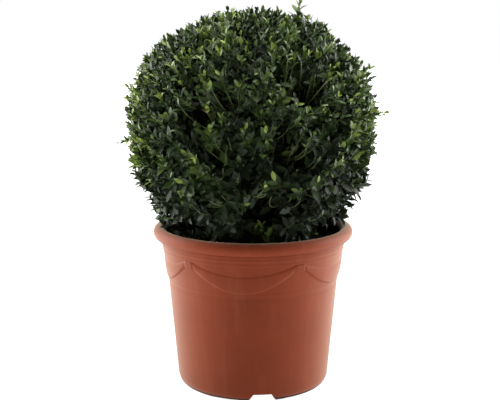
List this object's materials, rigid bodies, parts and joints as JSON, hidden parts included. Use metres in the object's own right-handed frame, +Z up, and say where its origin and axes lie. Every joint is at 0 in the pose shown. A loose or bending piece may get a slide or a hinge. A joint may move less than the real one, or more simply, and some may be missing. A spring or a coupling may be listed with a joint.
{
  "type": "clipped box ball in a plastic pot",
  "caption": "Small-leaved evergreen shrub clipped to a ball, growing from compost in a round moulded plastic pot with a rolled rim, a festoon band and a notched foot.",
  "frame": {"origin": "on the pot's axis, at the level of the ground it stands on", "axes": "+Z up along the pot's axis, -Y towards the front, +X to the right as seen from the front"},
  "size_m": [0.4354, 0.4202, 0.6464],
  "materials": {
    "pot_plastic": "satin moulded plastic, terracotta-coloured, faintly scuffed",
    "compost": "moist dark peat with crumbs and bark chips",
    "bark": "thin grey-brown bark, finely cracked",
    "leaves": "small leathery leaves, dark green, glossy above",
    "young_leaves": "fresh yellow-green leaves and twigs of the last growth"
  },
  "bodies": {
    "root": {"pot_foot": "pot_plastic", "pot_floor": "pot_plastic", "pot_wall": "pot_plastic", "pot_rim": "pot_plastic", "compost": "compost", "trunk": "bark", "mass_top": "leaves", "mass_upper_front": "leaves", "mass_right": "leaves", "mass_left": "leaves", "mass_front": "leaves", "mass_low_right": "leaves", "mass_low_left": "leaves", "mass_back_right": "leaves", "mass_back": "leaves", "mass_back_left": "leaves", "mass_low_back_right": "leaves", "mass_low_back": "leaves", "mass_low_back_left": "leaves", "tuft_left": "leaves", "tuft_front_left": "leaves", "tuft_front": "leaves", "tuft_right": "leaves", "tuft_back_right": "leaves", "tuft_back_left": "leaves", "bough_top": "bark", "bough_upper_front": "bark", "bough_right": "bark", "bough_left": "bark", "bough_front": "bark", "bough_low_right": "bark", "bough_low_left": "bark", "bough_back_right": "bark", "bough_back": "bark", "bough_back_left": "bark", "bough_low_back_right": "bark", "bough_low_back": "bark", "bough_low_back_left": "bark", "stem_left": "bark", "stem_front_left": "bark", "stem_front": "bark", "stem_right": "bark", "stem_back_right": "bark", "stem_back_left": "bark", "shoot_top": "young_leaves", "shoot_upper_right": "young_leaves", "shoot_right": "young_leaves", "shoot_left": "young_leaves"}
  },
  "joints": []
}
